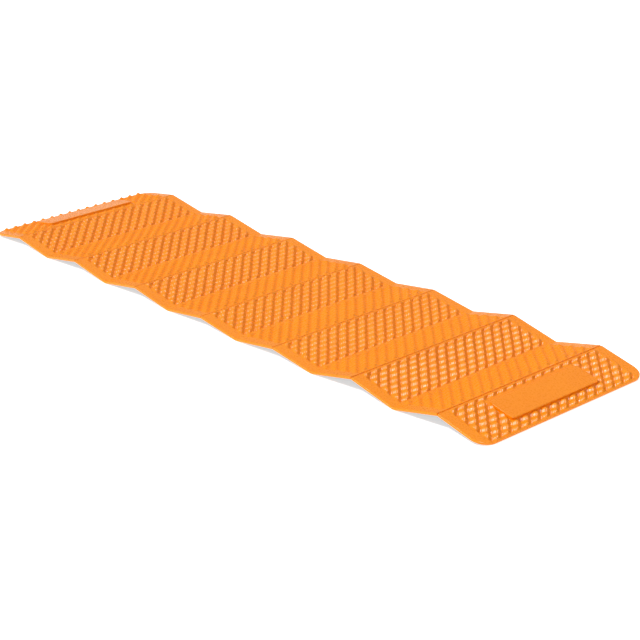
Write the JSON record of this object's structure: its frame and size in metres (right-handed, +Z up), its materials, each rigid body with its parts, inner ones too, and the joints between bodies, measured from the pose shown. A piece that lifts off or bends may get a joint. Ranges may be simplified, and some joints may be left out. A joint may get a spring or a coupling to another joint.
{
  "type": "foam sleeping pad",
  "caption": "Accordion-fold closed-cell foam sleeping pad: flat panels with an egg-crate face on both sides, joined by pressed fold lines that let it pack into a slim block.",
  "frame": {"origin": "on the ground under the middle of the pad, as it stands half open on its folds", "axes": "+X along the pad, +Y across it, +Z up"},
  "size_m": [1.8166, 0.51, 0.0351],
  "materials": {
    "orange_foam": "satin moulded skin of a closed-cell foam",
    "charcoal_foam": "matt moulded skin of a closed-cell foam"
  },
  "bodies": {
    "panel_01": {"top_foam_01": "orange_foam", "underside_foam_01": "charcoal_foam", "fold_web_01": "orange_foam"},
    "panel_02": {"top_foam_02": "orange_foam", "underside_foam_02": "charcoal_foam", "fold_web_02": "orange_foam"},
    "panel_03": {"top_foam_03": "orange_foam", "underside_foam_03": "charcoal_foam", "fold_web_03": "orange_foam"},
    "panel_04": {"top_foam_04": "orange_foam", "underside_foam_04": "charcoal_foam", "fold_web_04": "orange_foam"},
    "panel_05": {"top_foam_05": "orange_foam", "underside_foam_05": "charcoal_foam", "fold_web_05": "orange_foam"},
    "panel_06": {"top_foam_06": "orange_foam", "underside_foam_06": "charcoal_foam", "fold_web_06": "orange_foam"},
    "panel_07": {"top_foam_07": "orange_foam", "underside_foam_07": "charcoal_foam", "fold_web_07": "orange_foam"},
    "panel_08": {"top_foam_08": "orange_foam", "underside_foam_08": "charcoal_foam", "fold_web_08": "orange_foam"},
    "panel_09": {"top_foam_09": "orange_foam", "underside_foam_09": "charcoal_foam", "fold_web_09": "orange_foam"},
    "panel_10": {"top_foam_10": "orange_foam", "underside_foam_10": "charcoal_foam", "fold_web_10": "orange_foam"},
    "panel_11": {"top_foam_11": "orange_foam", "underside_foam_11": "charcoal_foam", "fold_web_11": "orange_foam"},
    "panel_12": {"top_foam_12": "orange_foam", "underside_foam_12": "charcoal_foam", "fold_web_12": "orange_foam"},
    "panel_13": {"top_foam_13": "orange_foam", "underside_foam_13": "charcoal_foam", "fold_web_13": "orange_foam"},
    "panel_14": {"top_foam_14": "orange_foam", "underside_foam_14": "charcoal_foam"}
  },
  "joints": [
    {"name": "fold_01", "type": "hinge", "parent": "panel_02", "child": "panel_01", "pos_m": [-0.77826, 0, 0.0207], "axis": [0, -1, 0], "range_deg": [-18.4, 161.6], "stiffness_Nm_per_rad": 0.25},
    {"name": "fold_02", "type": "hinge", "parent": "panel_03", "child": "panel_02", "pos_m": [-0.64821, 0, 0.00612], "axis": [0, 1, 0], "range_deg": [-19.1, 160.9], "stiffness_Nm_per_rad": 0.25},
    {"name": "fold_03", "type": "hinge", "parent": "panel_04", "child": "panel_03", "pos_m": [-0.51834, 0, 0.02229], "axis": [0, -1, 0], "range_deg": [-19.8, 160.2], "stiffness_Nm_per_rad": 0.25},
    {"name": "fold_04", "type": "hinge", "parent": "panel_05", "child": "panel_04", "pos_m": [-0.38847, 0, 0.00612], "axis": [0, 1, 0], "range_deg": [-19.4, 160.6], "stiffness_Nm_per_rad": 0.25},
    {"name": "fold_05", "type": "hinge", "parent": "panel_06", "child": "panel_05", "pos_m": [-0.25849, 0, 0.02138], "axis": [0, -1, 0], "range_deg": [-19, 161], "stiffness_Nm_per_rad": 0.25},
    {"name": "fold_06", "type": "hinge", "parent": "panel_07", "child": "panel_06", "pos_m": [-0.12852, 0, 0.00612], "axis": [0, 1, 0], "range_deg": [-17.4, 162.6], "stiffness_Nm_per_rad": 0.25},
    {"name": "fold_07", "type": "hinge", "parent": "panel_07", "child": "panel_08", "pos_m": [0.00184, 0, 0.01775], "axis": [0, 1, 0], "range_deg": [-15.8, 164.2], "stiffness_Nm_per_rad": 0.25},
    {"name": "fold_08", "type": "hinge", "parent": "panel_08", "child": "panel_09", "pos_m": [0.13219, 0, 0.00612], "axis": [0, -1, 0], "range_deg": [-16.2, 163.8], "stiffness_Nm_per_rad": 0.25},
    {"name": "fold_09", "type": "hinge", "parent": "panel_09", "child": "panel_10", "pos_m": [0.26246, 0, 0.01866], "axis": [0, 1, 0], "range_deg": [-16.6, 163.4], "stiffness_Nm_per_rad": 0.25},
    {"name": "fold_10", "type": "hinge", "parent": "panel_10", "child": "panel_11", "pos_m": [0.39273, 0, 0.00612], "axis": [0, -1, 0], "range_deg": [-20.7, 159.3], "stiffness_Nm_per_rad": 0.25},
    {"name": "fold_11", "type": "hinge", "parent": "panel_11", "child": "panel_12", "pos_m": [0.52177, 0, 0.02794], "axis": [0, 1, 0], "range_deg": [-24.8, 155.2], "stiffness_Nm_per_rad": 0.25},
    {"name": "fold_12", "type": "hinge", "parent": "panel_12", "child": "panel_13", "pos_m": [0.65081, 0, 0.00612], "axis": [0, -1, 0], "range_deg": [-25.5, 154.5], "stiffness_Nm_per_rad": 0.25},
    {"name": "fold_13", "type": "hinge", "parent": "panel_13", "child": "panel_14", "pos_m": [0.77957, 0, 0.02951], "axis": [0, 1, 0], "range_deg": [-26.2, 153.8], "stiffness_Nm_per_rad": 0.25}
  ]
}
